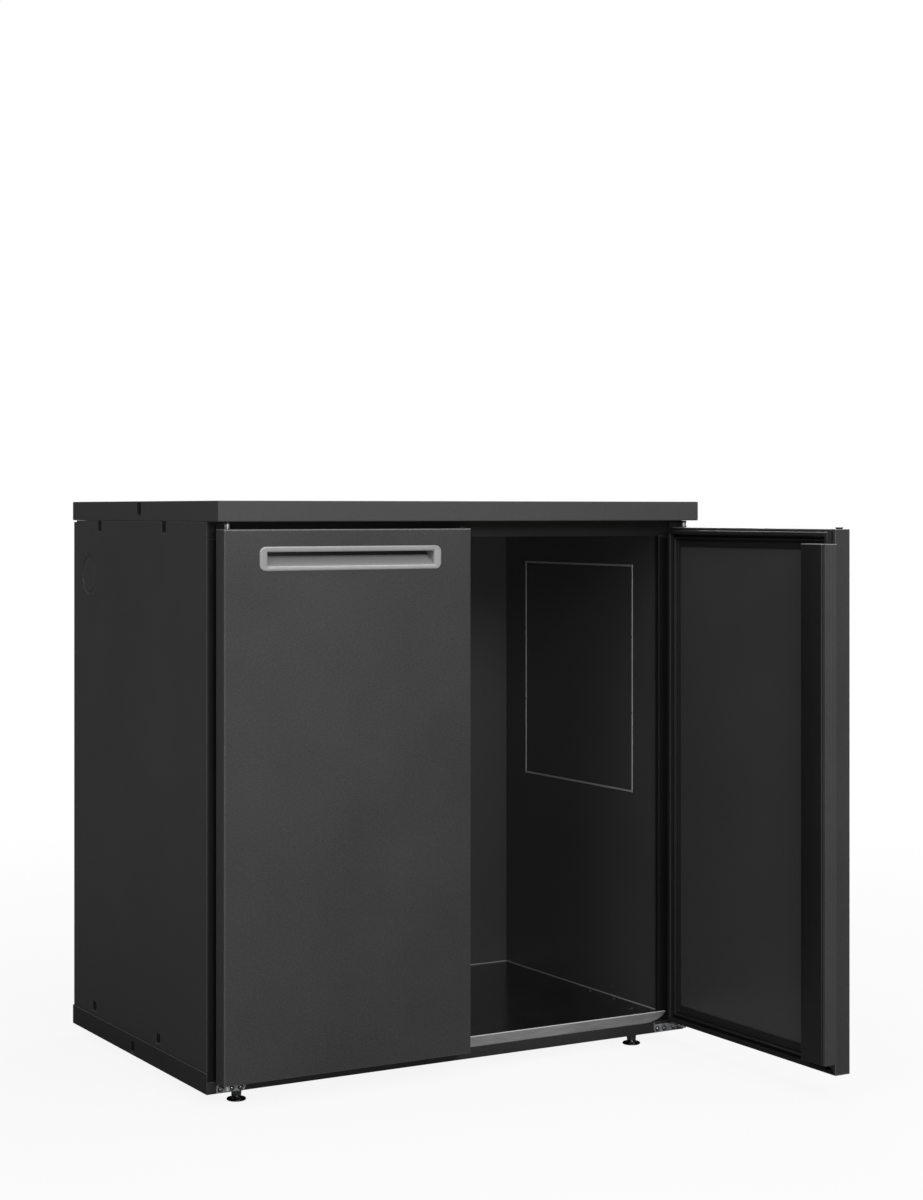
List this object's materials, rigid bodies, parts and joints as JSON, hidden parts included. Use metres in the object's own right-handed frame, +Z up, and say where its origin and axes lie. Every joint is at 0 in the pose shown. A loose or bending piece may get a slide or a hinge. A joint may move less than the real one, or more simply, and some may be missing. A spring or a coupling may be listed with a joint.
{
  "type": "keg cooler",
  "caption": "Insulated under-bar keg cabinet with hinged doors, recessed handles, a slab worktop, levelling feet and a fan-cooled evaporator unit inside.",
  "frame": {"origin": "on the floor, under the middle of the outline with the right door standing open at a right angle", "axes": "+X to the right as seen from the front, +Y from the doors towards the rear wall, +Z up"},
  "size_m": [1.06, 1.2266, 1.1],
  "materials": {
    "cabinet_coating": "satin",
    "door_coating": "satin",
    "frame_coating": "satin",
    "liner_coating": "satin",
    "hinge_coating": "satin",
    "port_cap_coating": "satin",
    "core_board": "matte",
    "foam": "matte",
    "stainless_sheet": "polished",
    "zinc_plate": "satin",
    "foot_plastic": "gloss",
    "black_plastic": "satin",
    "knob_plastic": "satin",
    "aluminium_sheet": "satin",
    "aluminium_fins": "satin",
    "copper_tube": "satin",
    "handle_aluminium": "satin",
    "profile_aluminium": "satin",
    "gasket_rubber": "matte",
    "seal_rubber": "matte"
  },
  "bodies": {
    "cabinet": {"worktop_skin": "cabinet_coating", "worktop_core": "core_board", "base_frame": "cabinet_coating", "floor_insulation": "foam", "right_side_panel": "cabinet_coating", "left_side_panel": "cabinet_coating", "right_wall_insulation": "foam", "left_wall_insulation": "foam", "right_liner": "liner_coating", "left_liner": "liner_coating", "left_port_cap": "port_cap_coating", "port_trim_frame": "stainless_sheet", "port_blank_panel": "liner_coating", "rear_panel": "cabinet_coating", "rear_insulation": "foam", "rear_liner": "liner_coating", "ceiling_insulation": "foam", "ceiling_liner": "liner_coating", "right_jamb": "frame_coating", "left_jamb": "frame_coating", "header_frame": "frame_coating", "floor_pan": "stainless_sheet", "right_lower_hinge": "zinc_plate", "left_lower_hinge": "zinc_plate", "right_upper_hinge": "hinge_coating", "left_upper_hinge": "hinge_coating", "evaporator_cover": "aluminium_sheet", "evaporator_coil": "aluminium_fins", "suction_pipe": "copper_tube", "liquid_pipe": "copper_tube", "drip_tray": "black_plastic", "drain_pipe": "black_plastic", "fan_motor_front": "black_plastic", "fan_guard_front": "zinc_plate", "fan_motor_rear": "black_plastic", "fan_guard_rear": "zinc_plate", "thermostat_housing": "black_plastic", "cable_gland": "black_plastic"},
    "left_door": {"left_door_skin": "door_coating", "left_door_insulation": "foam", "left_door_liner": "liner_coating", "left_door_handle": "handle_aluminium", "left_door_gasket": "gasket_rubber", "left_meeting_profile": "profile_aluminium", "left_meeting_seal": "seal_rubber"},
    "right_door": {"right_door_skin": "door_coating", "right_door_insulation": "foam", "right_door_liner": "liner_coating", "right_door_handle": "handle_aluminium", "right_door_gasket": "gasket_rubber", "right_meeting_profile": "profile_aluminium", "right_meeting_seal": "seal_rubber"},
    "front_fan_rotor": {"fan_blades_front": "black_plastic"},
    "rear_fan_rotor": {"fan_blades_rear": "black_plastic"},
    "thermostat_dial": {"thermostat_knob": "knob_plastic"},
    "front_left_foot": {"levelling_foot_front_left": "foot_plastic"},
    "back_left_foot": {"levelling_foot_back_left": "foot_plastic"},
    "front_right_foot": {"levelling_foot_front_right": "foot_plastic"},
    "back_right_foot": {"levelling_foot_back_right": "foot_plastic"}
  },
  "joints": [
    {"name": "left_door_hinge", "type": "hinge", "parent": "cabinet", "child": "left_door", "pos_m": [-0.5053, -0.1014, 0.5465], "axis": [0, 0, 1], "range_deg": [-105, 0]},
    {"name": "right_door_hinge", "type": "hinge", "parent": "cabinet", "child": "right_door", "pos_m": [0.5053, -0.1014, 0.5465], "axis": [0, 0, 1], "range_deg": [-90, 15]},
    {"name": "front_fan_spin", "type": "hinge", "parent": "cabinet", "child": "front_fan_rotor", "pos_m": [-0.3913, 0.1453, 0.85], "axis": [1, 0, 0], "continuous": true},
    {"name": "rear_fan_spin", "type": "hinge", "parent": "cabinet", "child": "rear_fan_rotor", "pos_m": [-0.3913, 0.3413, 0.85], "axis": [1, 0, 0], "continuous": true},
    {"name": "thermostat_turn", "type": "hinge", "parent": "cabinet", "child": "thermostat_dial", "pos_m": [-0.426, 0.0136, 0.772], "axis": [0, -1, 0], "range_deg": [-135, 135]},
    {"name": "front_left_foot_screw", "type": "hinge", "parent": "cabinet", "child": "front_left_foot", "pos_m": [-0.4607, -0.0437, 0.023], "axis": [0, 0, 1], "continuous": true},
    {"name": "back_left_foot_screw", "type": "hinge", "parent": "cabinet", "child": "back_left_foot", "pos_m": [-0.4607, 0.5733, 0.023], "axis": [0, 0, 1], "continuous": true},
    {"name": "front_right_foot_screw", "type": "hinge", "parent": "cabinet", "child": "front_right_foot", "pos_m": [0.417, -0.0437, 0.023], "axis": [0, 0, 1], "continuous": true},
    {"name": "back_right_foot_screw", "type": "hinge", "parent": "cabinet", "child": "back_right_foot", "pos_m": [0.417, 0.5733, 0.023], "axis": [0, 0, 1], "continuous": true}
  ]
}
